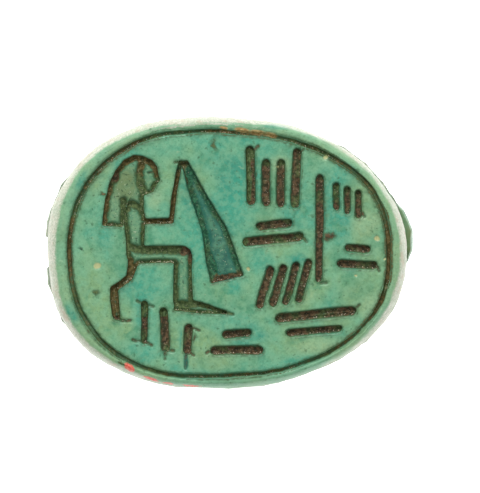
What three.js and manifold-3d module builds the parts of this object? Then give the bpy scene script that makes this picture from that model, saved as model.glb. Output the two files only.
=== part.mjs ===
// Scarab amulet of glazed steatite: one carved stone, pierced lengthwise for a thread. It lies on its
// back, so the engraved seal face is on top. Millimetres, +Z up, +X towards the beetle's head, and the
// origin under the middle of the piece, on the small flat that the back rests on.
import * as THREE from "three";
import { mergeVertices } from "three/addons/utils/BufferGeometryUtils.js";
import Module from "manifold-3d";

const wasm = await Module();
wasm.setup();

// Driving dimensions. A depth is measured down from the seal face, towards the beetle's back.
const HEIGHT = 7.5;

// Plan oval: a superellipse that narrows towards the head.
const OVAL_SEGMENTS = 76;
const PLATE_OVAL = {
  headLength: 8.08,
  tailLength: 8.22,
  halfWidth: 6.14,
  power: 2.22,
  powerSwing: 0.09,
  taper: 0.06,
};
const BORDER_OVAL = {
  headLength: 7.2,
  tailLength: 7.2,
  halfWidth: 5.51,
  power: 2.38,
  powerSwing: -0.16,
  taper: 0.1,
};
const BORDER_OFF_CENTRE = -0.055;

// Base plate: [depth, share of the flare] from the seal face's edge down to the underside. The edge
// is rounded off most at the head end.
const PLATE_FLARE = { tail: 0.53, head: 0.5, side: 0.3 };
const PLATE_THICKNESS = 1.4;
const PLATE_PROFILE = [
  [0, 1],
  [0.06, 0.76],
  [0.2, 0.5],
  [0.5, 0.2],
  [0.9, 0],
  [1.22, 0.12],
  [PLATE_THICKNESS, 0.7],
];

// Waist between the plate and the back, behind the legs.
const WAIST_INSET = { length: 0.95, width: 0.95 };
const WAIST_TOP = 1.1;
const WAIST_BOTTOM = 3.6;

// Back: a superellipsoid over the plan oval, cut flat at the top of its curve.
const BACK_RIM_DEPTH = 3.0;
const BACK_INSET = { length: 1.15, width: 0.6 };
const BACK_SHIFT = -0.72;
const BACK_POWER = 2.25;
const BACK_RINGS = 11;
const FLAT_SPOT_CUT = 0.06;
const RIM_TUCK = 0.3;

// Lines cut into the back: the wing cases meet along the middle, behind a curved line.
const LINE_WIDTH = 0.3;
const LINE_DEPTH = 0.24;
const NECK_LINE_X = 1.75;
const NECK_LINE_RADIUS = 13;
const NECK_LINE_SPACING = 0.62;
const SHOULDER_NOTCH = { x: 0.95, y: 3.7, length: 1.15, width: 0.8 };

// Head: [x, half width, depth of the underside, depth of the crown], and the toothed shield before it.
const HEAD_SIDES = 16;
const HEAD_PROFILE = [
  [4.3, 2.2, 3.1, 5.7],
  [5.2, 2.35, 3.08, 5.45],
  [6.0, 2.2, 3.08, 5.05],
  [6.7, 1.85, 3.1, 4.6],
  [7.2, 1.35, 3.15, 4.15],
];
const EYE = { x: 5.75, y: 2.1, depth: 4.0, radius: 0.55, length: 1.3 };
const SHIELD = { root: 6.3, tip: 8.26, halfWidth: 1.75, rootHalfWidth: 1.3, bow: 0.42, teeth: 4, notch: 0.03 };
const SHIELD_OFF_CENTRE = 0.55;
const SHIELD_DEPTH = 3.16;
const SHIELD_THICKNESS = 0.62;
const SHIELD_SLOPE = THREE.MathUtils.degToRad(10);

// Legs in relief along each side, from root to foot: angle round the oval, depth, radius and distance
// in from the plate's edge. The profile is [share of the run, share of the radius].
const LEG_SIDES = 8;
const LEG_PROFILE = [
  [0, 0.4],
  [0.04, 0.8],
  [0.16, 1],
  [0.4, 1.1],
  [0.65, 1.02],
  [0.85, 0.95],
  [0.96, 0.78],
  [1, 0.4],
];
const LEGS = {
  front: { angles: [58, 14], depths: [2.75, 2.2], radii: [0.68, 0.5], insets: [0.64, 0.4] },
  middle: { angles: [60, 113], depths: [2.8, 1.9], radii: [0.6, 0.4], insets: [0.76, 0.6] },
  hind: { angles: [104, 182], depths: [2.8, 2.1], radii: [0.66, 0.54], insets: [0.82, 0.3] },
};

// Hole for the thread, from end to end.
const BORE_RADIUS = 0.7;
const BORE_DEPTH = 2.26;
const BORE_SEGMENTS = 20;

// Engraving on the seal face. Every cut is narrower at its floor by the draft on each side.
const CUT_CLEARANCE = 0.4;
const CUT_DRAFT = 0.07;
const ROUND_END_STEPS = 5;
const BORDER_WIDTH = 0.24;
const BORDER_DEPTH = 0.24;
const FIGURE_DEPTH = 0.32;
const STROKE_DEPTH = 0.28;
const STROKE_WIDTH = 0.46;

const depthToZ = (depth) => HEIGHT - depth;

// A point of a plan oval that is brought in by an inset along its length and its width.
function ovalPoint(oval, insetLength, insetWidth, angle) {
  const c = Math.cos(angle);
  const s = Math.sin(angle);
  const power = oval.power - oval.powerSwing * c;
  const reach = (value) => Math.sign(value) * Math.abs(value) ** (2 / power);
  return new THREE.Vector2(
    ((c < 0 ? oval.tailLength : oval.headLength) - insetLength) * reach(c),
    (oval.halfWidth - insetWidth) * (1 - oval.taper * c) * reach(s),
  );
}

const ovalAngles = (segments) => Array.from({ length: segments }, (_, i) => (2 * Math.PI * i) / segments);

const ovalOutline = (oval, insetLength, insetWidth, segments = OVAL_SEGMENTS) =>
  ovalAngles(segments).map((angle) => ovalPoint(oval, insetLength, insetWidth, angle));

const atHeight = (outline, z) => outline.map((p) => new THREE.Vector3(p.x, p.y, z));

const middleOf = (ring) =>
  ring.reduce((sum, p) => sum.add(p), new THREE.Vector3()).divideScalar(ring.length);

// A closed solid through rings of equally many points, with a fan over the first and the last.
function loft(rings) {
  const count = rings[0].length;
  const points = [...rings.flat(), middleOf(rings[0]), middleOf(rings.at(-1))];
  const first = points.length - 2;
  const last = points.length - 1;
  const faces = [];
  for (let i = 0; i < count; i++) {
    const next = (i + 1) % count;
    const end = (rings.length - 1) * count;
    faces.push(first, next, i, last, end + i, end + next);
    for (let r = 0; r < end; r += count) {
      faces.push(r + i, r + next, r + count + next, r + i, r + count + next, r + count + i);
    }
  }
  const geometry = new THREE.BufferGeometry();
  geometry.setAttribute("position", new THREE.Float32BufferAttribute(points.flatMap((p) => p.toArray()), 3));
  geometry.setIndex(faces);
  return solid(geometry);
}

// The manifold of a closed geometry, with its faces outwards.
function solid(geometry) {
  const bare = geometry.clone();
  bare.deleteAttribute("normal");
  bare.deleteAttribute("uv");
  const merged = mergeVertices(bare, 1e-4);
  const vertProperties = new Float32Array(merged.attributes.position.array);
  const build = (triVerts) => new wasm.Manifold(new wasm.Mesh({ numProp: 3, vertProperties, triVerts }));
  const triVerts = new Uint32Array(merged.index.array);
  const made = build(triVerts);
  return made.volume() > 0 ? made : build(triVerts.reverse());
}

const joined = (solids) => solids.reduce((all, next) => all.add(next));

function meshGeometry(manifold) {
  const mesh = manifold.getMesh();
  const geometry = new THREE.BufferGeometry();
  geometry.setAttribute("position", new THREE.BufferAttribute(mesh.vertProperties, 3));
  geometry.setIndex(new THREE.BufferAttribute(mesh.triVerts, 1));
  geometry.computeVertexNormals();
  return geometry;
}

// --- The beetle ---

function basePlate() {
  const { tail, head, side } = PLATE_FLARE;
  const flareAt = (angle) => THREE.MathUtils.lerp(tail, head, (1 + Math.cos(angle)) / 2);
  const rings = PLATE_PROFILE.map(([depth, share]) => {
    const outline = ovalAngles(OVAL_SEGMENTS).map((angle) =>
      ovalPoint(PLATE_OVAL, flareAt(angle) * share, side * share, angle),
    );
    return atHeight(outline, depthToZ(depth));
  });
  return loft(rings);
}

function waist() {
  const outline = ovalOutline(PLATE_OVAL, WAIST_INSET.length, WAIST_INSET.width, OVAL_SEGMENTS / 2);
  return loft([atHeight(outline, depthToZ(WAIST_TOP)), atHeight(outline, depthToZ(WAIST_BOTTOM))]);
}

// The domed back, grown or shrunk by an offset so that lines can be cut to an even depth.
function back(offset = 0) {
  const rise = HEIGHT - BACK_RIM_DEPTH + FLAT_SPOT_CUT + offset;
  const ringAt = (share, depth) =>
    ovalOutline(
      PLATE_OVAL,
      PLATE_OVAL.headLength - (PLATE_OVAL.headLength - BACK_INSET.length + offset) * share,
      PLATE_OVAL.halfWidth - (PLATE_OVAL.halfWidth - BACK_INSET.width + offset) * share,
    ).map((p) => new THREE.Vector3(p.x + BACK_SHIFT, p.y, depthToZ(depth)));
  const rings = [ringAt(0.9, BACK_RIM_DEPTH), ringAt(0.975, BACK_RIM_DEPTH + RIM_TUCK / 3)];
  for (let i = 0; i < BACK_RINGS; i++) {
    const angle = ((Math.PI / 2) * i) / BACK_RINGS;
    const share = Math.cos(angle) ** (2 / BACK_POWER);
    const height = Math.sin(angle) ** (2 / BACK_POWER);
    rings.push(ringAt(share, BACK_RIM_DEPTH + RIM_TUCK + (rise - RIM_TUCK) * height));
  }
  rings.push(ringAt(0.02, BACK_RIM_DEPTH + rise));
  return loft(rings);
}

// An upright wall through the back that follows a plan line, to be cut into its surface.
function lineCutter(points, width) {
  const left = [];
  const right = [];
  points.forEach((p, i) => {
    const ahead = points[Math.min(i + 1, points.length - 1)];
    const behind = points[Math.max(i - 1, 0)];
    const along = ahead.clone().sub(behind).normalize();
    const side = new THREE.Vector2(-along.y, along.x).multiplyScalar(width / 2);
    left.push(p.clone().add(side));
    right.unshift(p.clone().sub(side));
  });
  return prism([...left, ...right], depthToZ(HEIGHT + 1), depthToZ(BACK_RIM_DEPTH - 0.2));
}

function prism(outline, low, high) {
  const geometry = new THREE.ExtrudeGeometry(new THREE.Shape(outline), {
    depth: high - low,
    bevelEnabled: false,
  }).translate(0, 0, low);
  return solid(geometry);
}

// Curved line behind the neck, crossing the whole back.
function neckLine(x) {
  const reach = PLATE_OVAL.halfWidth + 1;
  const steps = 16;
  const points = Array.from({ length: steps + 1 }, (_, i) => {
    const y = reach * ((2 * i) / steps - 1);
    return new THREE.Vector2(x + NECK_LINE_RADIUS - Math.sqrt(NECK_LINE_RADIUS ** 2 - y ** 2), y);
  });
  return lineCutter(points, LINE_WIDTH);
}

function wingLine() {
  const tail = new THREE.Vector2(-PLATE_OVAL.tailLength - 1, 0);
  return lineCutter([tail, new THREE.Vector2(NECK_LINE_X, 0)], LINE_WIDTH);
}

// Triangular notch at the shoulder of a wing case.
function shoulderNotch(side) {
  const { x, y, length, width } = SHOULDER_NOTCH;
  const outline = [
    new THREE.Vector2(x, side * (y - width / 2)),
    new THREE.Vector2(x, side * (y + width / 2)),
    new THREE.Vector2(x - length, side * y),
  ];
  return prism(side > 0 ? outline : outline.reverse(), depthToZ(HEIGHT + 1), depthToZ(BACK_RIM_DEPTH - 0.2));
}

function carvedBack() {
  const lines = joined([
    neckLine(NECK_LINE_X),
    neckLine(NECK_LINE_X + NECK_LINE_SPACING),
    wingLine(),
    shoulderNotch(1),
    shoulderNotch(-1),
  ]);
  return back().subtract(lines.subtract(back(-LINE_DEPTH)));
}

function head() {
  const soften = (value) => Math.sign(value) * Math.abs(value) ** 0.75;
  const rings = HEAD_PROFILE.map(([x, halfWidth, underside, crown]) =>
    ovalAngles(HEAD_SIDES).map((angle) => {
      const depth = (underside + crown) / 2 + ((crown - underside) / 2) * soften(Math.sin(angle));
      return new THREE.Vector3(x, halfWidth * soften(Math.cos(angle)), depthToZ(depth));
    }),
  );
  return loft(rings);
}

function eye(side) {
  const ball = new THREE.SphereGeometry(EYE.radius, 12, 8).scale(EYE.length, 1, 1);
  return solid(ball.translate(EYE.x, side * EYE.y, depthToZ(EYE.depth)));
}

// The toothed shield in front of the head, sloping towards the plate.
function shield() {
  const { root, tip, halfWidth, rootHalfWidth, bow, teeth, notch } = SHIELD;
  const outline = [new THREE.Vector2(root, rootHalfWidth), new THREE.Vector2(root, -rootHalfWidth)];
  const steps = teeth * 2;
  for (let i = 0; i <= steps; i++) {
    const share = (2 * i) / steps - 1;
    const valley = i % 2 === 0 && i > 0 && i < steps ? notch : 0;
    const x = root + (tip - root) * (1 - bow * Math.abs(share) ** 2.4) - valley;
    outline.push(new THREE.Vector2(x, halfWidth * share));
  }
  const slab = new THREE.ExtrudeGeometry(new THREE.Shape(outline), {
    depth: SHIELD_THICKNESS,
    bevelEnabled: false,
  });
  slab.translate(-tip, 0, -SHIELD_THICKNESS).rotateY(-SHIELD_SLOPE);
  slab.translate(tip, SHIELD_OFF_CENTRE, depthToZ(SHIELD_DEPTH));
  return solid(slab);
}

function leg({ angles, depths, radii, insets }, side) {
  const rings = LEG_PROFILE.map(([share, swell]) => {
    const angle = THREE.MathUtils.degToRad(THREE.MathUtils.lerp(...angles, share));
    const depth = THREE.MathUtils.lerp(...depths, share);
    const radius = THREE.MathUtils.lerp(...radii, share) * swell;
    const inset = THREE.MathUtils.lerp(...insets, share);
    const middle = ovalPoint(PLATE_OVAL, inset, inset, angle);
    const before = ovalPoint(PLATE_OVAL, inset, inset, angle - 0.01);
    const outward = new THREE.Vector2(middle.y - before.y, before.x - middle.x).normalize();
    return ovalAngles(LEG_SIDES).map((turn) => {
      const out = radius * Math.cos(turn);
      return new THREE.Vector3(
        middle.x + outward.x * out,
        side * (middle.y + outward.y * out),
        depthToZ(depth + radius * Math.sin(turn)),
      );
    });
  });
  return loft(rings);
}

function legs() {
  return joined(Object.values(LEGS).flatMap((shape) => [leg(shape, 1), leg(shape, -1)]));
}

function threadBore() {
  const length = 2 * PLATE_OVAL.tailLength + 4;
  const rod = new THREE.CylinderGeometry(BORE_RADIUS, BORE_RADIUS, length, BORE_SEGMENTS);
  return solid(rod.rotateZ(Math.PI / 2).translate(0, 0, depthToZ(BORE_DEPTH)));
}

// --- The engraving ---

// Moves each side of a closed outline inwards by an amount.
function insetOutline(points, amount) {
  const count = points.length;
  return points.map((p, i) => {
    const before = p.clone().sub(points[(i + count - 1) % count]).normalize();
    const after = points[(i + 1) % count].clone().sub(p).normalize();
    const inward = new THREE.Vector2(-before.y - after.y, before.x + after.x).normalize();
    const lean = Math.max(0.35, inward.dot(new THREE.Vector2(-after.y, after.x)));
    return p.clone().add(inward.multiplyScalar(amount / lean));
  });
}

// A cutter that sinks an anticlockwise outline into the seal face, with sloping walls.
function cut(outline, depth) {
  const flare = -CUT_DRAFT * (CUT_CLEARANCE / depth);
  return loft([
    atHeight(insetOutline(outline, flare), HEIGHT + CUT_CLEARANCE),
    atHeight(insetOutline(outline, CUT_DRAFT), HEIGHT - depth),
  ]);
}

// Outline of a stroke between two points, round at both ends, with its own radius at each.
function strokeOutline(from, to, fromRadius, toRadius = fromRadius) {
  const heading = Math.atan2(to[1] - from[1], to[0] - from[0]);
  const end = ([x, y], radius, start) =>
    Array.from({ length: ROUND_END_STEPS + 1 }, (_, i) => {
      const angle = start + (Math.PI * i) / ROUND_END_STEPS;
      return new THREE.Vector2(x + radius * Math.cos(angle), y + radius * Math.sin(angle));
    });
  return [...end(to, toRadius, heading - Math.PI / 2), ...end(from, fromRadius, heading + Math.PI / 2)];
}

const stroke = (from, to, width, depth = STROKE_DEPTH, endWidth = width) =>
  cut(strokeOutline(from, to, width / 2, endWidth / 2), depth);

function borderLine() {
  const outer = ovalOutline(BORDER_OVAL, -BORDER_WIDTH / 2, -BORDER_WIDTH / 2);
  const inner = ovalOutline(BORDER_OVAL, BORDER_WIDTH / 2, BORDER_WIDTH / 2);
  const spared = loft([
    atHeight(insetOutline(inner, CUT_DRAFT), HEIGHT + CUT_CLEARANCE),
    atHeight(insetOutline(inner, -CUT_DRAFT), HEIGHT - 2 * BORDER_DEPTH),
  ]);
  return cut(outer, BORDER_DEPTH).subtract(spared).translate([0, BORDER_OFF_CENTRE, 0]);
}

// A seated figure in profile with a long wig and a raised flail, facing the beetle's head.
function seatedFigure() {
  const limb = (from, to, width, endWidth) => stroke(from, to, width, FIGURE_DEPTH, endWidth);
  const shape = (corners) => cut(corners.map(([x, y]) => new THREE.Vector2(x, y)), FIGURE_DEPTH);
  const throat = [-4.1, 2.8];
  const shoulder = [-4.25, 1.75];
  const hip = [-4.22, -0.08];
  const knee = [-2.07, -0.1];
  const heel = [-2.07, -2.2];
  const elbow = [-2.6, 1.42];
  const hand = [-2.22, 3.98];
  const seatBack = [-4.5, -1.1];
  const seatLeg = [-5.2, -1.65];
  const seatFoot = [-5.1, -2.88];
  const wigAndFace = [
    [-5.72, 1.14],
    [-4.74, 1.12],
    [-4.62, 2.1],
    [-4.4, 2.5],
    [-3.7, 2.6],
    [-3.36, 2.72],
    [-3.24, 3.02],
    [-3.06, 3.26],
    [-3.16, 3.58],
    [-3.2, 3.86],
    [-3.42, 4.16],
    [-3.84, 4.38],
    [-4.34, 4.4],
    [-4.8, 4.18],
    [-5.16, 3.72],
    [-5.44, 3.1],
    [-5.62, 2.4],
  ];
  const flail = [
    [-2.36, 4.16],
    [-2.08, 3.7],
    [-1.26, 0.95],
    [-0.84, -1.41],
    [0.73, -1.07],
    [0.5, -0.45],
    [-0.05, 1.1],
    [-0.45, 1.7],
    [-1.62, 3.75],
    [-1.86, 4.16],
  ];
  const foot = [
    [-2.5, -2.62],
    [-1.3, -2.76],
    [0, -2.8],
    [-0.1, -2.6],
    [-1.6, -2.12],
    [-2.45, -2.1],
  ];
  return joined([
    shape(wigAndFace),
    limb(throat, shoulder, 0.6, 0.9),
    limb(shoulder, hip, 1.0, 0.84),
    limb([-4.0, 1.42], elbow, 0.3),
    limb(elbow, hand, 0.26),
    shape(flail),
    limb(hip, knee, 0.84),
    limb(knee, heel, 0.86, 0.92),
    shape(foot),
    limb(hip, seatBack, 0.6, 0.36),
    limb(seatBack, seatLeg, 0.34),
    limb(seatLeg, seatFoot, 0.4),
    limb([-5.05, -2.98], [-4.6, -3.04], 0.18, 0.08),
  ]);
}

// A row of strokes side by side, each a step on from the last. The outer ones can run longer, and the
// row can fan open.
function strokeRow({ start, step, run, count, bow = 0, fan = 0, width = STROKE_WIDTH }) {
  return Array.from({ length: count }, (_, i) => {
    const place = count > 1 ? (2 * i) / (count - 1) - 1 : 0;
    const reach = 1 + bow * place ** 2;
    const from = [start[0] + step[0] * i, start[1] + step[1] * i];
    return stroke(from, [from[0] + run[0] * reach + fan * place, from[1] + run[1] * reach], width);
  });
}

// Strokes from left to right, row by row.
function strokeRows() {
  return joined([
    ...strokeRow({ start: [1.02, 2.3], step: [0.66, -0.04], run: [0, 1.72], count: 4, bow: 0.36, fan: 0.08 }),
    stroke([1.38, 1.19], [2.68, 1.34], STROKE_WIDTH),
    stroke([0.84, 0.47], [3.16, 0.72], 0.48),
    stroke([4.12, 3.34], [4.05, -1.2], 0.44, STROKE_DEPTH, 0.4),
    ...strokeRow({ start: [4.82, 3.02], step: [0.5, -0.18], run: [0.03, -0.98], count: 3, width: 0.36 }),
    stroke([5.42, 0.2], [6.2, 0.16], 0.42),
    stroke([5.06, -0.5], [6.48, -0.56], 0.44),
    ...strokeRow({ start: [1.42, -2.38], step: [0.57, 0.1], run: [0.46, 1.62], count: 4, width: 0.42 }),
    stroke([2.3, -2.96], [5.55, -2.62], 0.5),
    stroke([2.72, -3.63], [4.98, -3.42], 0.4),
    stroke([-0.14, -3.68], [0.86, -3.62], 0.44),
    stroke([-0.64, -4.4], [1.36, -4.38], STROKE_WIDTH),
    stroke([-3.8, -2.32], [-3.82, -3.96], 0.38),
    stroke([-2.92, -2.66], [-2.82, -4.32], 0.44, STROKE_DEPTH, 0.48),
    stroke([-1.82, -3.38], [-1.86, -4.44], 0.44),
  ]);
}

function scarab() {
  const beetle = joined([basePlate(), waist(), carvedBack(), head(), eye(1), eye(-1), shield(), legs()]);
  const belowRest = prism(ovalOutline(PLATE_OVAL, 0, 0, 8), -1, 0);
  const engraving = joined([borderLine(), seatedFigure(), strokeRows()]);
  return beetle.subtract(threadBore()).subtract(belowRest).subtract(engraving);
}

const glaze = new THREE.MeshStandardMaterial({ color: 0x5cab8b, roughness: 0.35, metalness: 0 });
const amulet = new THREE.Mesh(meshGeometry(scarab()), glaze);
amulet.name = "scarab";

const group = new THREE.Group();
group.add(amulet);

export default group;
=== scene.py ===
"""Scarab amulet: one carved stone, glazed green, engraved on its flat seal face and worn with age.

The stone is worked in millimetres and brought back to metres at the end.
"""

import math

import bmesh
import bpy
import numpy as np
from mathutils import Matrix, Vector, kdtree, noise
from mathutils.geometry import convex_hull_2d


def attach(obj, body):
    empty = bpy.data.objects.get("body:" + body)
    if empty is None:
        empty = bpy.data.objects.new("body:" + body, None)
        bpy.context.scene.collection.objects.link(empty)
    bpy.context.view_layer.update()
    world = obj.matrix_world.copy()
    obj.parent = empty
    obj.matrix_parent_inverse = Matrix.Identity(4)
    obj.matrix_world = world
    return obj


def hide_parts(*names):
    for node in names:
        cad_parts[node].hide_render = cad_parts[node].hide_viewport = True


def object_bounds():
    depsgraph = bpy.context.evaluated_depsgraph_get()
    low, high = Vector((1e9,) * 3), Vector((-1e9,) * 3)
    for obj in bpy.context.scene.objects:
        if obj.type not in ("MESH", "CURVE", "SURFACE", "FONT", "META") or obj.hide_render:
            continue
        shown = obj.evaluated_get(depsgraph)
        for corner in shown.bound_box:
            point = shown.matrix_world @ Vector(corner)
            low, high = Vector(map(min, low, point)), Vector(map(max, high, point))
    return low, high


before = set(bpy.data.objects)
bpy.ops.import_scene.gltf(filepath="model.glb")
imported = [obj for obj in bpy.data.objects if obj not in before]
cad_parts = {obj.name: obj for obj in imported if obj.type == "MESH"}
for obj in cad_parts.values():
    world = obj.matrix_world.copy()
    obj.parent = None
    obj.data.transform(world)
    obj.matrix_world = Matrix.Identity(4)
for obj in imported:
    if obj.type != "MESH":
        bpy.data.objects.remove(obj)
CAD_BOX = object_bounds()
STONE_NODE = "scarab"
MM = 0.001
FACE_Z = CAD_BOX[1].z / MM

# --- Carving sizes, in millimetres ---
GRAIN = 0.042
MOST_TRIANGLES = 194000
SEAM_MERGE = 0.002
FLAT_WITHIN = 0.003
DEEPEST_CUT = 0.5
SHALLOWEST_CUT = 0.03
WALL_FOOT = 0.056
PILLOW_RISE = 0.2
FIGURE_PILLOW = (0.08, 0.36)
FLAIL_EDGE = 0.17
STROKE_PILLOW = (0.17, 0.5)
INNER_CUT_REACH = 0.05
FEATURE_REACH = (0.02, 0.08)
EDGE_CLEARANCE = 0.09
FACE_MIDDLE = 3
# The way away from the light, seen from above: grit and the dark halo along the cuts are widened on that side
# as painted shade.
SHADE_WAY = (0.45, -0.89)
SHADE_REACH = 0.05
BORDER_START = 0.1
BORDER_REACH = 0.56
TAIL_BORDER_REACH = 0.66
TAIL_END = -5.5
FIGURE_CORNER = (0.8, -2.9)
NICK_HALF_WIDTH = 0.12
NICK_DEPTH = 0.1
PIT_DEPTH = 0.05
CHIP_DEPTH = 0.05
LEG_SEAM = 0.09
RIM_BAND = (0.12, 0.5)

# How far down from the seal face each zone reaches.
SEAM_TOP = 1.0
PLATE_DEPTH = (1.15, 1.45)
MARKED_DEPTH = 1.3
LEGS_DEPTH = (1.1, 1.4)
LEGS_END = (3.0, 4.2)

# Unevenness from the hand, in layers: [size of its bumps, height, seed].
FLOOR_ROUGHNESS = [(0.16, 0.022, 3.1), (0.45, 0.02, 9.7)]
GROUND_WAVES = [(1.7, 0.02, 5.0), (0.5, 0.008, 8.0)]
SIDE_SWELL = [(2.6, 0.06, 31.0), (0.7, 0.016, 37.0)]
LINE_WOBBLE = [(1.9, 0.055, 0.0), (0.6, 0.03, 40.0)]
EDGE_WOBBLE = [(0.27, 0.014, 60.0)]
WOBBLE_SEEDS = (11.0, 23.0)

# Where the rubbed rim comes further in: [by how much, middle and width of the stretch in radians].
# Along the lower side the rim is less rubbed, and so darker: [by what share, middle, width].
RUBBED_RIM = [(0.26, 1.75, 0.75), (0.16, -2.4, 0.5), (0.16, 3.14, 0.5), (0.12, -3.14, 0.4), (0.14, 0.0, 0.5)]
LESS_RUBBED_BELOW = (0.3, -1.35, 0.75)

# Lines cut inside the figure's sunk body: wig and face, side lock, shoulder, lap, knee and ankle.
FIGURE_INNER_CUTS = [
    [(-3.9, 4.0), (-4.02, 3.6), (-3.98, 3.2), (-3.84, 2.8)],
    [(-4.72, 2.35), (-4.7, 1.9), (-4.73, 1.25)],
    [(-4.7, 2.1), (-4.35, 2.22), (-3.95, 2.02), (-3.82, 1.75)],
    [(-4.5, 0.28), (-3.9, 0.1), (-2.5, 0.08), (-1.9, 0.05)],
    [(-2.45, -2.3), (-2.0, -2.38), (-1.55, -2.3)],
]

# The figure's eye and mouth.
FACE_LINES = [
    [(-3.62, 3.6), (-3.46, 3.62)],
    [(-3.44, 3.0), (-3.32, 3.02)],
]

# Short slips of the graver past the ends of the strokes, from where it left the cut.
GRAVER_SLIPS = [
    [(-3.95, -2.28), (-4.14, -2.16)],
    [(-3.66, -2.36), (-3.42, -2.44)],
    [(-3.95, -3.96), (-4.34, -3.92)],
    [(-3.68, -4.06), (-3.46, -4.18)],
    [(-2.7, -4.42), (-2.46, -4.44)],
    [(-2.86, -4.5), (-2.84, -4.78)],
    [(-1.68, -3.36), (-1.36, -3.5)],
    [(-1.72, -4.54), (-1.6, -4.62)],
    [(-1.9, -4.5), (-1.94, -5.2)],
    [(-4.94, -3.02), (-4.44, -3.06)],
    [(-2.12, 4.1), (-2.44, 4.06)],
    [(-0.05, -2.72), (0.18, -2.8)],
    [(1.12, 4.62), (1.32, 4.82)],
    [(3.16, 4.5), (3.38, 4.66)],
    [(3.36, 0.66), (3.52, 0.5)],
    [(4.14, -1.38), (4.42, -1.36)],
    [(5.98, 1.82), (6.1, 1.64)],
    [(6.64, -0.62), (6.74, -0.82)],
    [(-0.9, -4.44), (-1.0, -4.52)],
    [(5.72, -2.5), (5.86, -2.36)],
]

# Marks on the stone, seen from above: [x, y, half length, half width, turn in degrees].
BARE_PITS = [
    (-5.93, -0.57, 0.2, 0.17, 20),
    (6.68, 0.65, 0.15, 0.14, 0),
    (0.91, -0.73, 0.1, 0.1, 0),
    (7.0, -0.27, 0.08, 0.06, 30),
    (5.7, -1.0, 0.07, 0.06, 0),
    (4.36, 4.3, 0.13, 0.1, 20),
    (2.2, 3.86, 0.1, 0.06, 0),
]
PALE_PATCHES = [
    # The first, a thin pale strip under the half-round sign, is a painted highlight along its lower edge.
    (1.9, 0.12, 0.34, 0.1, 4),
    (6.2, 1.35, 0.75, 0.5, 20),
    (-3.3, 2.4, 0.5, 0.3, 60),
    (-5.1, 2.2, 0.5, 0.8, 10),
    (4.0, -4.2, 1.3, 0.4, 10),
    (2.4, 4.0, 0.5, 0.4, 0),
    (6.4, -2.6, 0.5, 0.7, 0),
    (3.6, -1.9, 0.3, 0.25, 0),
    (7.38, -1.5, 0.3, 0.12, 75),
    (4.36, 4.3, 0.26, 0.2, 20),
]
TEAL_STAINS = [
    (-6.62, 3.3, 0.5, 0.16, 60),
    (-7.1, -2.75, 0.5, 0.2, -60),
    (-4.7, -1.6, 0.5, 0.25, 30),
    (0.0, 1.0, 0.5, 0.18, -62),
    (-0.5, 2.1, 0.8, 0.1, -64),
    (0.25, 3.3, 0.9, 1.1, 0),
    (2.1, 5.66, 0.62, 0.12, -6),
    (-1.93, -4.95, 0.4, 0.12, 90),
    (-2.18, -3.9, 0.7, 0.07, 88),
    (1.5, -3.75, 0.28, 0.18, 20),
    (5.0, 1.45, 0.5, 0.14, 5),
    (3.1, -0.3, 0.4, 0.2, 0),
    (-1.9, 2.6, 0.35, 1.1, 15),
]
PACKED_GRIT = [
    (-5.36, 3.2, 0.34, 0.1, 68),
    (-5.05, 3.72, 0.34, 0.12, 52),
    (-4.6, 4.14, 0.34, 0.12, 24),
    (-4.05, 4.27, 0.36, 0.12, -4),
    (-3.55, 4.05, 0.3, 0.12, -36),
    (-3.28, 3.62, 0.26, 0.07, -80),
    (-5.16, 3.34, 0.26, 0.2, 50),
    (-0.1, -1.2, 0.8, 0.24, 13),
    (-0.66, -0.6, 0.6, 0.14, -74),
    (-1.98, 3.72, 0.4, 0.14, -65),
    (-4.5, -0.72, 0.4, 0.24, 60),
]
BROWN_CUTS = [
    (-5.55, 2.0, 1.1, 0.5, 82),
    (-4.6, 3.9, 1.0, 0.6, 30),
    (-3.5, 3.9, 0.6, 0.6, -45),
    (-3.1, 1.5, 1.0, 0.35, 0),
    (-2.3, 2.7, 1.4, 0.35, 80),
    (-4.6, -0.8, 0.6, 0.6, 0),
    (-5.2, -2.0, 1.1, 0.5, 85),
    (-1.8, -0.1, 0.5, 0.5, 0),
    (-0.1, -1.2, 0.9, 0.35, 13),
    (-7.2, 0.2, 2.0, 0.5, 90),
    (7.1, 0.4, 2.6, 0.6, 90),
    (6.2, -2.8, 1.6, 0.6, 50),
    (-5.2, 4.4, 1.6, 0.5, 38),
    (0.6, 5.5, 1.8, 0.4, -3),
    (4.5, 0.7, 0.6, 0.5, 0),
]
UMBER_CUTS = [
    (-0.1, -1.2, 0.85, 0.32, 13),
    (-5.16, 3.34, 0.4, 0.35, 50),
    (-1.9, 0.0, 0.5, 0.4, 0),
]
BROWN_SPOTS = [
    (4.55, 0.7, 0.3, 0.24, 20),
    (-5.87, 3.6, 0.2, 0.07, 35),
    (-5.7, 2.66, 0.16, 0.08, 0),
    (-6.05, -1.8, 0.2, 0.12, 30),
    (-0.7, 4.9, 0.16, 0.12, 0),
    (-4.85, -5.0, 0.2, 0.06, -30),
    (-1.55, -3.9, 0.12, 0.1, 0),
]
RED_TRACES = [
    (-4.5, -5.2, 0.32, 0.17, -40),
    (-3.5, -5.68, 0.4, 0.06, -18),
    (-2.7, -5.88, 0.3, 0.05, -10),
    (-1.7, -6.0, 0.5, 0.05, -5),
]
GLAZE_LOSS = [
    (-0.22, 5.62, 0.24, 0.1, -3),
    (0.6, 5.54, 0.45, 0.14, -6),
    (1.25, 5.44, 0.5, 0.15, -8),
    (1.9, 5.31, 0.38, 0.13, -14),
]
FLAIL_FLOOR = [
    (-1.85, 3.4, 0.7, 0.5, -65),
    (-1.25, 2.1, 0.9, 0.7, -68),
    (-0.75, 0.9, 0.9, 0.85, -70),
    (-0.25, -0.5, 1.0, 0.95, -70),
]

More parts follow.
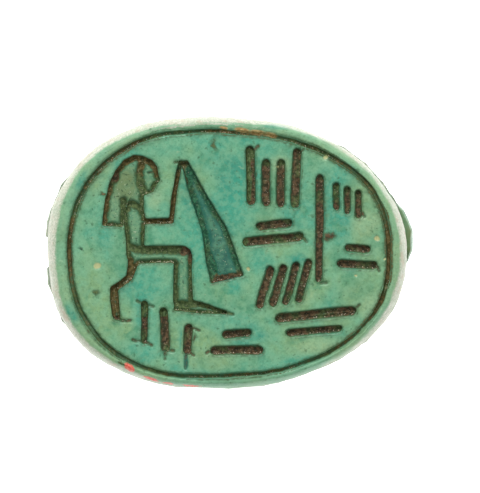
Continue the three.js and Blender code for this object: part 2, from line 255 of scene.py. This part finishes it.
BLUE_CLOUDS = [
    (-1.6, 0.2, 1.7, 2.0, 0),
    (0.4, 2.6, 1.0, 1.4, 0),
    (3.1, -0.3, 0.55, 0.35, 0),
    (1.5, -0.4, 0.6, 0.6, 0),
    (0.3, -1.2, 0.45, 0.9, 0),
    (3.4, -5.0, 1.6, 0.4, 10),
    (-6.7, 3.2, 0.3, 0.45, -20),
    (-6.9, -2.8, 0.4, 0.7, 25),
    (-3.6, -1.3, 0.8, 0.8, 0),
    (0.9, 5.1, 1.0, 0.25, -3),
]
OLIVE_CLOUDS = [
    (6.3, 0.5, 0.8, 1.9, 0),
    (5.9, -2.0, 1.1, 0.9, 0),
    (4.9, -3.1, 0.8, 0.4, 5),
    (5.9, 2.8, 0.8, 0.9, -40),
    (-5.9, 3.3, 0.4, 1.2, -32),
    (-4.7, 3.1, 0.7, 0.8, 10),
    (7.6, 0.2, 0.35, 3.4, 0),
    (5.4, 4.5, 1.6, 0.3, -38),
    (-6.3, -4.0, 1.4, 0.35, -48),
    (5.6, -4.4, 1.6, 0.35, 35),
    (2.2, 3.6, 0.5, 0.8, 0),
    (-1.0, -4.9, 1.4, 0.5, -3),
    (-4.8, 4.8, 0.8, 0.3, 30),
]

# --- Bench tools ---


def select_only(piece):
    bpy.ops.object.select_all(action="DESELECT")
    piece.select_set(True)
    bpy.context.view_layer.objects.active = piece


def work(piece, kind, **settings):
    """Gives the piece one modifier and applies it."""
    select_only(piece)
    modifier = piece.modifiers.new(kind.title(), kind)
    for name, value in settings.items():
        setattr(modifier, name, value)
    bpy.ops.object.modifier_apply(modifier=modifier.name)


def resize(piece, factor):
    select_only(piece)
    bpy.ops.object.mode_set(mode="EDIT")
    bpy.ops.mesh.select_all(action="SELECT")
    bpy.ops.transform.resize(value=(factor,) * 3, center_override=(0, 0, 0))
    bpy.ops.object.mode_set(mode="OBJECT")


def points_of(mesh):
    co = np.empty(len(mesh.vertices) * 3, dtype=np.float32)
    mesh.vertices.foreach_get("co", co)
    return co.reshape(-1, 3).astype(np.float64)


def set_points(mesh, co):
    mesh.vertices.foreach_set("co", co.astype(np.float32).ravel())
    mesh.update()


def normals_of(mesh):
    n = np.empty(len(mesh.vertices) * 3, dtype=np.float32)
    mesh.vertices.foreach_get("normal", n)
    return n.reshape(-1, 3).astype(np.float64)


def ease(low, high, value):
    """Smooth step from 0 at low to 1 at high."""
    t = np.clip((value - low) / (high - low), 0.0, 1.0)
    return t * t * (3 - 2 * t)


def grain_noise(co, size, seed=0.0):
    """Noise of about -1 to 1 at each point, with bumps of the given size."""
    step = 1.0 / size
    return np.array([noise.noise(Vector((p[0] * step + seed, p[1] * step, p[2] * step))) for p in co])


def unevenness(co, layers, seed=0.0):
    return sum(grain_noise(co, size, seed + shift) * height for size, height, shift in layers)


def around(turn, share, middle, width):
    """A share that fades out on both sides of a middle, round the rim."""
    return share * np.exp(-(((turn - middle) / width) ** 2))


def marks(co, table):
    """How much each point lies in any oval mark of the table, seen from above."""
    x, y = co[:, 0], co[:, 1]
    most = np.zeros(len(co))
    for mx, my, length, width, turn in table:
        c, s = math.cos(math.radians(turn)), math.sin(math.radians(turn))
        u = ((x - mx) * c + (y - my) * s) / length
        v = ((y - my) * c - (x - mx) * s) / width
        most = np.maximum(most, 1 - ease(0.45, 1.35, np.hypot(u, v)))
    return most


class Finder:
    """Finds the nearest of some lines in plan, each given as closely spaced points."""

    def __init__(self, lines):
        self.line_of = np.array([k for k, line in enumerate(lines) for _ in line])
        self.tree = kdtree.KDTree(len(self.line_of))
        for i, p in enumerate(p for line in lines for p in line):
            self.tree.insert((p[0], p[1], 0), i)
        self.tree.balance()

    def search(self, co):
        """Each point's distance to the nearest line, its direction from there, and the line's number."""
        found = [self.tree.find((p[0], p[1], 0)) for p in co]
        gap = np.array([hit[2] for hit in found])
        foot = np.array([hit[0][:2] for hit in found])
        away = (co[:, :2] - foot) / np.maximum(gap, 1e-6)[:, None]
        return gap, away, self.line_of[[hit[1] for hit in found]]

    def distance(self, co):
        return self.search(co)[0]


def along(line, step=0.02):
    """Points spaced evenly along a line through the given corners."""
    points = []
    for a, b in zip(line, line[1:]):
        count = max(1, int(math.dist(a, b) / step))
        shares = [i / count for i in range(count + 1)]
        points += [(a[0] + (b[0] - a[0]) * t, a[1] + (b[1] - a[1]) * t) for t in shares]
    return points


# --- The stone ---


def stone_blank():
    """A copy of the solid, merged and in millimetres."""
    stone = bpy.data.objects.new("glazed_scarab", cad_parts[STONE_NODE].data.copy())
    stone.data.materials.clear()
    bpy.context.scene.collection.objects.link(stone)
    resize(stone, 1 / MM)
    bpy.ops.object.mode_set(mode="EDIT")
    bpy.ops.mesh.select_all(action="SELECT")
    bpy.ops.mesh.remove_doubles(threshold=SEAM_MERGE)
    bpy.ops.object.mode_set(mode="OBJECT")
    return stone


def seal_face_edges(stone):
    """Finds the seal face's outer edge, and the edges of the border line, the figure and the strokes."""
    bm = bmesh.new()
    bm.from_mesh(stone.data)
    bm.normal_update()
    top = [v.co.to_2d() for v in bm.verts if v.co.z > FACE_Z - FLAT_WITHIN]
    hull = [top[i] for i in convex_hull_2d(top)]
    outer = Finder([along([*hull, hull[0]])])
    flat = [e for e in bm.edges if min(v.co.z for v in e.verts) > FACE_Z - FLAT_WITHIN]
    rims = [e for e in flat if (e.link_faces[0].normal.z > 0.999) != (e.link_faces[1].normal.z > 0.999)]
    points = np.array([p for e in rims for p in along([v.co[:2] for v in e.verts])])
    bm.free()
    inward = outer.distance(points)
    reach = np.where(points[:, 0] < TAIL_END, TAIL_BORDER_REACH, BORDER_REACH)
    border = (inward > BORDER_START) & (inward < reach)
    in_figure = (points[:, 0] < FIGURE_CORNER[0]) & (points[:, 1] > FIGURE_CORNER[1])
    figure = (inward >= reach) & in_figure
    strokes = (inward >= reach) & ~in_figure
    return outer, Finder([points[border], points[figure], points[strokes]])


BORDER, FIGURE, STROKES = range(3)
INNER_CUTS = Finder([along(line) for line in FIGURE_INNER_CUTS])
SLIPS = Finder([along(line) for line in GRAVER_SLIPS])
FEATURES = Finder([along(line) for line in FACE_LINES])


class FaceRelief:
    """Where each point is on the seal face: in a cut or on the ground, and how far from the edges."""

    def __init__(self, co, outer, engraved):
        near = np.nonzero(co[:, 2] > FACE_Z - DEEPEST_CUT)[0]
        gap, away, _ = outer.search(co[near])
        from_middle = np.hypot(co[near, 0], co[near, 1])
        inward = ((away * co[near, :2]).sum(axis=1) < 0) | (from_middle < FACE_MIDDLE)
        inside = inward & (gap > EDGE_CLEARANCE)
        self.index = near[inside]
        self.band = 1 - ease(*RIM_BAND, gap[inside])
        on = co[self.index]
        self.depth = FACE_Z - on[:, 2]
        self.cut = self.depth > SHALLOWEST_CUT
        self.rim, away, line = engraved.search(on)
        self.border = line == BORDER
        self.stroke = line == STROKES
        figure = line == FIGURE
        self.shade = away @ np.array(SHADE_WAY)
        self.slip = SLIPS.distance(on)
        self.flail = marks(on, FLAIL_FLOOR) * figure
        # Painted shade: walls that keep the light off count as nearer, so the floor rises later beside them
        # and the grit along them is wider.
        wall = self.rim - SHADE_REACH * self.shade + grain_noise(on, 0.8, 17.0) * 0.05
        low, high = FIGURE_PILLOW
        width = high - low + FLAIL_EDGE * self.flail
        from_lines = INNER_CUTS.distance(on) + INNER_CUT_REACH
        in_body = ease(0.0, 1.0, (np.minimum(wall, from_lines) - low) / width)
        self.pillow = np.where(figure, in_body, ease(*STROKE_PILLOW, wall)) * self.cut * ~self.border
        features = 0.45 + 0.55 * ease(*FEATURE_REACH, FEATURES.distance(on))
        self.pillow *= (1 - marks(on, PACKED_GRIT)) * features


def sink_and_crown(stone, outer, engraved):
    """Rounds up the floors of the wide cuts, roughens them, and adds the graver's slips."""
    co = points_of(stone.data)
    face = FaceRelief(co, outer, engraved)
    on = co[face.index]
    floor = face.cut & (face.rim > WALL_FOOT)
    rough = unevenness(on, FLOOR_ROUGHNESS)
    rise = PILLOW_RISE * (1 - 0.55 * face.flail)
    lift = face.pillow * rise + (1 - face.pillow) * rough + face.pillow * rough * 0.35
    on[:, 2] += np.where(floor, lift, 0)
    slip = np.clip(1 - face.slip / NICK_HALF_WIDTH, 0, 1)
    on[:, 2] += np.where(face.cut, 0, unevenness(on, GROUND_WAVES) - slip * NICK_DEPTH)
    chipped = marks(on, GLAZE_LOSS) * (CHIP_DEPTH + 0.04 * grain_noise(on, 0.2, 4.0))
    on[:, 2] -= marks(on, BARE_PITS) * PIT_DEPTH + chipped
    co[face.index] = on
    set_points(stone.data, co)


def hand_wobble(stone):
    """Moves lines and edges a little off true, as a hand-held graver does."""
    co = points_of(stone.data)
    for axis, seed in enumerate(WOBBLE_SEEDS):
        for layers in (LINE_WOBBLE, EDGE_WOBBLE):
            co[:, axis] += unevenness(co, layers, seed)
    normal = normals_of(stone.data)
    lower = ease(0.3, 0.8, FACE_Z - co[:, 2]) * ease(0.1, 0.6, co[:, 2])
    co += normal * (unevenness(co, SIDE_SWELL) * lower)[:, None]
    set_points(stone.data, co)


def hollowness(stone, rounds=26, pull=0.6):
    """How far each point lies below (above 0) or above (below 0) the smoothed surface."""
    mesh = stone.data
    co, normal = points_of(mesh), normals_of(mesh)
    ends = np.empty(len(mesh.edges) * 2, dtype=np.int32)
    mesh.edges.foreach_get("vertices", ends)
    a, b = ends[0::2], ends[1::2]
    count = np.bincount(a, minlength=len(co)) + np.bincount(b, minlength=len(co))
    smooth = co.copy()
    for _ in range(rounds):
        total = [
            np.bincount(a, smooth[b, k], len(co)) + np.bincount(b, smooth[a, k], len(co)) for k in range(3)
        ]
        smooth = (1 - pull) * smooth + pull * np.stack(total, axis=1) / np.maximum(count, 1)[:, None]
    return ((smooth - co) * normal).sum(axis=1)


# --- Wear ---


def leg_seam(co, depth):
    """The dark seam on legs and shield where they pass under the plate's edge."""
    sector = (np.degrees(np.arctan2(co[:, 1], co[:, 0])) + 180).astype(int) % 360
    radius = np.hypot(co[:, 0], co[:, 1])
    plate = np.zeros(360)
    upper = depth < SEAM_TOP
    np.maximum.at(plate, sector[upper], radius[upper])
    past = radius - plate[sector]
    return ease(-0.1, -0.04, past) * (1 - ease(LEG_SEAM / 2, LEG_SEAM, past)) * ~upper


def slip_grit(face):
    return (1 - ease(0.02, 0.13, face.slip)) * 0.55


def face_grit_and_shade(face, on):
    """Grit on the seal face: packed in the cuts, fading out beside them, and thin in the slips. Beside the
    cuts it is also painted shade, heavier on the side of each cut that lies away from the light.
    """
    in_cut = ease(0.03, 0.14, face.depth) * (1 - 0.93 * face.pillow)
    in_cut *= 1 - face.stroke * 0.5 * (1 - ease(0.03, 0.15, face.rim))
    to_ends = ease(3.5, 6.5, np.abs(on[:, 0]))
    in_line = ease(0.12, 0.22, face.depth + 0.09 * to_ends) * (0.7 + 0.3 * grain_noise(on, 1.6, 71.0))
    in_cut = np.where(face.border, in_line, in_cut)
    spread = face.border * (0.14 + 0.22 * ease(2.5, 5.5, on[:, 0]))
    # Painted shade: a dark halo beside the cuts, heavier on the side of each cut away from the light.
    beside = (1 - ease(0.0, 0.17, face.rim)) * (0.3 + 0.12 * face.shade + spread)
    return np.maximum(np.where(face.cut, in_cut, beside), slip_grit(face))


def rubbed_share(co, depth, side, hollow, outer):
    """How far the glaze is rubbed pale: along the plate's edge, and on the raised parts below it."""
    past = np.where(side, outer.distance(co), 0.0) * (depth < PLATE_DEPTH[1])
    turn = np.arctan2(co[:, 1], co[:, 0])
    starts = sum(around(turn, *stretch) for stretch in RUBBED_RIM)
    edge = ease(0.0, 0.24, past - 0.16 + starts) * (1 - ease(*PLATE_DEPTH, depth)) * side
    less_rubbed_below = around(turn, *LESS_RUBBED_BELOW)
    rim = edge * (1 - less_rubbed_below) * (0.9 + 0.2 * grain_noise(co, 1.4, 51.0))
    crest = ease(0.015, 0.07, -hollow) * ease(1.4, 1.6, depth) * (0.55 + 0.35 * grain_noise(co, 1.1, 57.0))
    crest *= 1 - 0.8 * ease(6.8, 7.6, co[:, 0])
    return np.clip(np.maximum(rim, crest), 0, 1)


def paint_wear(stone, outer, engraved):
    """Stores, at each point, how much of each finish the stone shows there."""
    mesh = stone.data
    co = points_of(mesh)
    face = FaceRelief(co, outer, engraved)
    on = co[face.index]
    hollow = hollowness(stone)
    depth = FACE_Z - co[:, 2]
    side = np.ones(len(co), bool)
    side[face.index] = False

    def with_face(rest, on_face):
        whole = np.broadcast_to(rest, len(co)).astype(float)
        whole[face.index] = on_face
        return whole

    dirt_and_shade = with_face(ease(0.02, 0.09, hollow) * ease(0.9, 1.2, depth) * 0.8, face_grit_and_shade(face, on))
    dirt_and_shade = np.maximum(dirt_and_shade, marks(co, BROWN_SPOTS) * (depth < DEEPEST_CUT) * 0.8)
    dirt_and_shade = np.maximum(dirt_and_shade, leg_seam(co, depth) * 0.5)
    # Painted highlight: on the lower walls of the cuts, which face the light, the grit's grains are painted
    # brighter and more often.
    lit = ease(0.2, 0.9, -face.shade) * (1 - ease(0.1, 0.2, face.rim)) * ease(0.03, 0.1, face.depth)
    patchy = face.stroke * (0.65 + 0.5 * grain_noise(on, 1.2, 83.0)) + face.border * 0.35
    rust = marks(co, BROWN_CUTS)
    umber = marks(co, UMBER_CUTS)
    flail = np.maximum(face.flail * face.cut, marks(on, TEAL_STAINS) * slip_grit(face) * 1.8)
    flail = with_face(0.0, flail)

    upper = depth < MARKED_DEPTH
    pale_band = face.band * (0.64 + 0.4 * grain_noise(on, 0.9, 91.0))
    pale_spots = marks(co, PALE_PATCHES) * upper
    loss = marks(co, GLAZE_LOSS)
    coats = {
        "dirt_and_shade": dirt_and_shade,
        "worn": rubbed_share(co, depth, side, hollow, outer),
        "cushion": with_face(0.0, face.pillow),
        "bare": np.maximum(marks(co, BARE_PITS), loss * 0.9) * upper,
        "loss": loss * upper,
        "blue": marks(co, BLUE_CLOUDS) * upper,
        "olive": marks(co, OLIVE_CLOUDS) * upper,
        "pale": np.clip(with_face(0.64 * upper, np.maximum(pale_spots[face.index], pale_band)), 0, 1),
        "teal": np.maximum(marks(co, TEAL_STAINS) * upper, flail),
        "flail": flail,
        "glint": with_face(0.0, lit),
        "rust": with_face(rust, np.maximum(rust[face.index], patchy)),
        "umber": with_face(umber, np.maximum(umber[face.index], face.stroke)),
        # Painted shade on the legs and waist, under the plate's overhang.
        "under_plate_shade": ease(*LEGS_DEPTH, depth) * (1 - ease(*LEGS_END, depth)),
        "red": marks(co, RED_TRACES) * upper,
    }
    for name, values in coats.items():
        mesh.attributes.new(name, "FLOAT", "POINT").data.foreach_set("value", values.astype(np.float32))


def carve_scarab():
    stone = stone_blank()
    outer, engraved = seal_face_edges(stone)
    work(stone, "REMESH", mode="VOXEL", voxel_size=GRAIN)
    work(stone, "SMOOTH", factor=0.5, iterations=2)
    sink_and_crown(stone, outer, engraved)
    work(stone, "SMOOTH", factor=0.35, iterations=1)
    work(stone, "TRIANGULATE")
    triangles = len(stone.data.polygons)
    if triangles > MOST_TRIANGLES:
        work(stone, "DECIMATE", ratio=MOST_TRIANGLES / triangles)
    paint_wear(stone, outer, engraved)
    hand_wobble(stone)
    resize(stone, MM)
    stone.data.shade_smooth()
    return stone


# --- Finishes ---

# Small marks in the glaze: [size, detail, roughness, shift, first seen at, full at, share, colour].
SPECKLES = [
    (0.26, 3, 0.6, 0.63, 0.4, 0.62, 0.32, (132, 180, 142)),
    (0.3, 2, 0.5, 0.21, 0.64, 0.74, 0.6, (56, 94, 60)),
    (0.15, 2, 0.6, 0.77, 0.67, 0.75, 0.6, (46, 78, 46)),
    (0.42, 2, 0.5, 0.47, 0.7, 0.8, 0.5, (168, 190, 150)),
]
# The same on the sunk floors: pits, then dust.
SUNK_SPECKLES = [
    (0.11, 2, 0.5, 0.29, 0.6, 0.68, 0.75, (42, 70, 44)),
    (0.12, 2, 0.5, 0.59, 0.64, 0.72, 0.5, (176, 190, 158)),
]


def colour(r, g, b):
    """A colour of 0 to 255 in each channel, as the shader wants it."""
    linear = [((v / 255 + 0.055) / 1.055) ** 2.4 for v in (r, g, b)]
    return (*linear, 1.0)


class Finish:
    """Builds one material from small steps."""

    def __init__(self, name):
        self.material = bpy.data.materials.new(name)
        self.material.use_nodes = True
        self.tree = self.material.node_tree
        self.shader = self.tree.nodes["Principled BSDF"]
        self.place = self.tree.nodes.new("ShaderNodeTexCoord").outputs["Object"]

    def node(self, kind, values, **settings):
        made = self.tree.nodes.new(kind)
        for name, value in settings.items():
            setattr(made, name, value)
        for key, value in values.items():
            if isinstance(value, bpy.types.NodeSocket):
                self.tree.links.new(value, made.inputs[key])
            else:
                made.inputs[key].default_value = value
        return made

    def noise(self, size, detail=2.0, rough=0.5, warp=0.0, shift=0.0):
        """Noise with bumps of a size in millimetres."""
        moved = self.node("ShaderNodeVectorMath", {0: self.place, 1: (shift, shift * 0.7, -shift)}).outputs[0]
        values = {"Vector": moved, "Scale": 1 / (size * MM), "Detail": detail, "Roughness": rough}
        values["Distortion"] = warp
        return self.node("ShaderNodeTexNoise", values).outputs["Fac"]

    def cells(self, size):
        values = {"Vector": self.place, "Scale": 1 / (size * MM)}
        return self.node("ShaderNodeTexVoronoi", values)

    def coat(self, name):
        return self.node("ShaderNodeAttribute", {}, attribute_name=name).outputs["Fac"]

    def step(self, value, low, high, start=0.0, end=1.0):
        values = {"Value": value, "From Min": low, "From Max": high, "To Min": start, "To Max": end}
        return self.node("ShaderNodeMapRange", values, interpolation_type="SMOOTHSTEP").outputs[0]

    def math(self, operation, a, b):
        return self.node("ShaderNodeMath", {0: a, 1: b}, operation=operation).outputs[0]

    def plus(self, a, b):
        return self.math("ADD", a, b)

    def times(self, a, b):
        return self.math("MULTIPLY", a, b)

    def centred(self, noise, strength=1.0):
        """Noise moved to lie about 0, and scaled."""
        moved = self.math("SUBTRACT", noise, 0.5)
        return moved if strength == 1.0 else self.times(moved, strength)

    def blend(self, share, a, b):
        values = {0: share, 6: a, 7: b}
        return self.node("ShaderNodeMix", values, data_type="RGBA", blend_type="MIX").outputs[2]

    def two_tone(self, noise, low, high, dark, light):
        return self.blend(self.step(noise, low, high), colour(*dark), colour(*light))

    def speckle(self, skin, size, detail, rough, shift, low, high, share, tint, where=None):
        """Adds small marks of one kind to a skin, everywhere or by a share."""
        seen = self.step(self.noise(size, detail, rough, shift=shift), low, high, 0, share)
        if where is not None:
            seen = self.times(seen, where)
        return self.blend(seen, skin, colour(*tint))

    def to_shader(self, name, value):
        self.tree.links.new(value, self.shader.inputs[name])


class StoneFinish(Finish):
    """The stone's own noises and coats, which all its layers share."""

    def __init__(self, name):
        super().__init__(name)
        self.grit = self.noise(0.09, 3, 0.65)
        self.crumb = self.noise(0.16, 3, 0.6, shift=0.3)
        self.cloud = self.noise(3.4, 3, 0.55, 0.4)
        self.blotch = self.noise(1.0, 4, 0.6, 0.3, shift=0.11)
        self.cushion = self.coat("cushion")
        self.flail = self.coat("flail")
        self.olive = self.times(self.coat("olive"), self.step(self.blotch, 0.35, 0.65, 0.45, 0.95))
        self.stain = self.times(self.coat("teal"), self.step(self.blotch, 0.3, 0.6, 0.35, 0.9))


def clouded_glaze(f):
    """Sea green that runs bluer and yellower in clouds, with stains, spots and flecks."""
    glaze = f.two_tone(f.cloud, 0.36, 0.66, (70, 155, 130), (128, 163, 113))
    glaze = f.blend(f.step(f.blotch, 0.42, 0.72, 0, 0.7), glaze, colour(108, 172, 136))
    glaze = f.blend(f.step(f.blotch, 0.5, 0.3, 0, 0.85), glaze, colour(72, 138, 102))
    blue = f.times(f.coat("blue"), f.step(f.blotch, 0.3, 0.7, 1.0, 0.5))
    glaze = f.blend(blue, glaze, colour(60, 154, 128))
    glaze = f.blend(f.olive, glaze, colour(124, 158, 112))
    glaze = f.blend(f.times(f.coat("pale"), 0.7), glaze, colour(146, 176, 132))
    glaze = f.blend(f.stain, glaze, colour(50, 138, 116))
    glaze = f.blend(f.step(f.grit, 0.35, 0.7, 0.0, 0.38), glaze, colour(60, 110, 84))
    for kind in SPECKLES:
        glaze = f.speckle(glaze, *kind)
    return glaze


def sunk_glaze(f, glaze):
    """Rounded floors of the wide cuts keep a duller, dustier glaze, deeper green in the flail."""
    dusty = f.two_tone(f.crumb, 0.4, 0.65, (78, 122, 90), (112, 147, 106))
    glaze = f.blend(f.times(f.cushion, 0.72), glaze, dusty)
    yellowed = f.times(f.times(f.olive, f.cushion), 0.75)
    glaze = f.blend(yellowed, glaze, colour(102, 112, 64))
    deep = f.two_tone(f.noise(0.5, 4, 0.7, shift=0.15), 0.38, 0.64, (24, 84, 74), (70, 124, 98))
    glaze = f.blend(f.times(f.flail, 0.85), glaze, deep)
    for kind in SUNK_SPECKLES:
        glaze = f.speckle(glaze, *kind, where=f.cushion)
    return glaze


def rubbed_edge(f, glaze):
    """The plate's edge is rubbed pale, with a fine grain, soil and a stain. Below it the glaze is darkened
    olive, a painted shade under the plate.
    """
    # Painted shade: the glaze under the plate is darkened olive.
    under_plate_shade = f.times(f.coat("under_plate_shade"), f.step(f.blotch, 0.3, 0.7, 0.6, 0.95))
    glaze = f.blend(under_plate_shade, glaze, colour(106, 120, 76))
    rubbed = f.two_tone(f.grit, 0.4, 0.6, (168, 177, 154), (200, 201, 184))
    rubbed = f.blend(f.step(f.cloud, 0.4, 0.62, 0, 0.35), rubbed, colour(150, 180, 150))
    soil = f.times(f.step(f.noise(0.5, 4, 0.65, shift=0.51), 0.5, 0.68), 0.55)
    rubbed = f.blend(soil, rubbed, colour(178, 160, 134))
    worn_coat = f.coat("worn")
    ragged = f.plus(f.centred(f.blotch, 0.6), f.centred(f.grit, 0.7))
    ragged = f.times(ragged, f.step(worn_coat, 0.0, 0.3))
    worn = f.step(f.plus(worn_coat, ragged), 0.1, 0.85)
    skin = f.blend(worn, glaze, rubbed)
    return f.blend(f.times(f.stain, f.times(worn, 0.6)), skin, colour(70, 152, 138))


def red_traces(f, skin):
    share = f.step(f.plus(f.coat("red"), f.centred(f.crumb)), 0.36, 0.6)
    return f.blend(share, skin, f.two_tone(f.grit, 0.4, 0.6, (212, 78, 66), (220, 128, 106)))


def grit_shade_and_glints(f, skin):
    """Grit packed in the cuts, with a dark green fringe that is partly a stain and partly painted shade along
    the cut edges. Returns the skin and the share that grit covers.

    It is brown in places and green in others, redder in the strokes. Its bright grains are partly pale grit
    and partly painted glints, brighter and more of them on the walls that face the light.
    """
    dirt_and_shade_coat = f.coat("dirt_and_shade")
    ragged = f.times(f.centred(f.crumb), f.step(dirt_and_shade_coat, 0.0, 0.4, 0.1, 0.9))
    loose = f.plus(dirt_and_shade_coat, ragged)
    # The fringe colour is partly a stain and partly painted shade at the cut edges; teal in the flail.
    stain_and_shade_fringe = f.blend(f.flail, colour(54, 86, 54), colour(26, 98, 82))
    skin = f.blend(f.step(loose, 0.02, 0.55, 0, 0.85), skin, stain_and_shade_fringe)

    grain = (f.crumb, 0.4, 0.62)
    brown = f.two_tone(*grain, (60, 57, 20), (100, 88, 50))
    umber = f.two_tone(*grain, (46, 40, 20), (96, 76, 52))
    green = f.two_tone(*grain, (48, 66, 32), (84, 102, 60))
    teal = f.two_tone(*grain, (16, 66, 44), (46, 102, 72))
    green = f.blend(f.flail, green, teal)
    brown = f.blend(f.coat("umber"), brown, umber)
    streak = f.centred(f.noise(0.7, 3, 0.6, shift=0.33), 2.2)
    packed = f.blend(f.step(f.plus(f.coat("rust"), streak), 0.2, 0.75), green, brown)

    # Painted glints: bright grains in the grit, partly pale grit, more and brighter where the glint coat
    # marks the lit walls.
    grains = f.cells(0.055)
    glint = f.coat("glint")
    chosen = f.node("ShaderNodeSeparateColor", {"Color": grains.outputs["Color"]}).outputs[0]
    chosen = f.plus(chosen, f.times(glint, 0.3))
    bright = f.times(f.step(chosen, 0.84, 0.9), f.step(grains.outputs["Distance"], 0.5, 0.2))
    shine = f.step(glint, 0.0, 1.0, 0.28, 1.0)
    packed = f.blend(f.times(bright, shine), packed, colour(204, 194, 170))
    covered = f.step(loose, 0.34, 0.8)
    return f.blend(covered, skin, packed), covered


def bare_stone(f, skin):
    """Bare stone: buff in the pits, tan where the glaze has come away."""
    tan = f.two_tone(f.crumb, 0.42, 0.6, (216, 180, 122), (164, 126, 76))
    buff = f.two_tone(f.crumb, 0.42, 0.6, (178, 178, 128), (158, 166, 112))
    share = f.step(f.plus(f.coat("bare"), f.centred(f.crumb)), 0.25, 0.95)
    return f.blend(f.times(share, 0.92), skin, f.blend(f.coat("loss"), buff, tan))


def worn_green_glaze():
    f = StoneFinish("worn_green_glaze")
    glaze = sunk_glaze(f, clouded_glaze(f))
    skin = red_traces(f, rubbed_edge(f, glaze))
    skin, dirty = grit_shade_and_glints(f, skin)
    f.to_shader("Base Color", bare_stone(f, skin))

    gloss = f.step(f.noise(0.5, 3, 0.6, shift=0.9), 0.3, 0.7, 0.3, 0.46)
    matt = f.math("MAXIMUM", dirty, f.times(f.cushion, 0.6))
    dull = f.node("ShaderNodeMix", {0: matt, 2: gloss, 3: 0.78}, data_type="FLOAT").outputs[0]
    f.to_shader("Roughness", dull)
    f.shader.inputs["Specular IOR Level"].default_value = 0.3

    relief = f.plus(f.times(f.grit, f.step(dirty, 0, 1, 0.25, 1.6)), f.times(f.blotch, 0.8))
    bump = f.node("ShaderNodeBump", {"Strength": 0.55, "Distance": 0.03 * MM, "Height": relief})
    f.to_shader("Normal", bump.outputs["Normal"])
    return f.material


def white_table():
    bpy.ops.object.select_all(action="DESELECT")
    bpy.ops.mesh.primitive_plane_add(size=0.8)
    table = bpy.context.object
    table.name = "table"
    finish = Finish("white_table")
    finish.shader.inputs["Base Color"].default_value = (0.9, 0.9, 0.9, 1)
    finish.shader.inputs["Roughness"].default_value = 0.9
    finish.shader.inputs["Emission Color"].default_value = (1, 1, 1, 1)
    finish.shader.inputs["Emission Strength"].default_value = 0.95
    table.data.materials.append(finish.material)


# --- Light and camera, in metres ---

SKY_STRENGTH = 0.42
KEY_LIGHT = ((-0.05, 0.22, 0.26), 0.14, 0.95)
FILL_LIGHT = ((0.2, -0.12, 0.3), 0.3, 0.3)
VIEW_SPAN = 22.22 * MM
VIEW_DISTANCE = 0.32
VIEW_TILT = math.radians(0.5)
VIEW_OFFSET = (0.505 * MM, 0.28 * MM)


def soft_light(name, place, size, power):
    light = bpy.data.lights.new(name, "AREA")
    light.size, light.energy = size, power
    lamp = bpy.data.objects.new(name, light)
    lamp.location = place
    lamp.rotation_euler = (-Vector(place)).to_track_quat("-Z", "Y").to_euler()
    bpy.context.scene.collection.objects.link(lamp)


def studio():
    scene = bpy.context.scene
    scene.view_settings.view_transform = "Standard"
    world = bpy.data.worlds.new("studio")
    world.use_nodes = True
    world.node_tree.nodes["Background"].inputs["Color"].default_value = (1, 1, 1, 1)
    world.node_tree.nodes["Background"].inputs["Strength"].default_value = SKY_STRENGTH
    scene.world = world
    soft_light("key", *KEY_LIGHT)
    soft_light("fill", *FILL_LIGHT)


def camera():
    lens = bpy.data.cameras.new("camera")
    lens.sensor_width = 36
    lens.lens = lens.sensor_width * VIEW_DISTANCE / VIEW_SPAN
    lens.clip_start, lens.clip_end = 0.01, 5
    eye = bpy.data.objects.new("camera", lens)
    turn = Matrix.Rotation(-VIEW_TILT, 3, "X")
    aim = Vector((0, 0, CAD_BOX[1].z)) + turn @ Vector((*VIEW_OFFSET, 0))
    eye.location = aim + turn @ Vector((0, 0, VIEW_DISTANCE))
    eye.rotation_euler = turn.to_euler()
    bpy.context.scene.collection.objects.link(eye)
    bpy.context.scene.camera = eye


camera()
studio()
white_table()

scarab = carve_scarab()
scarab.data.materials.append(worn_green_glaze())
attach(scarab, "root")
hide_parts(STONE_NODE)
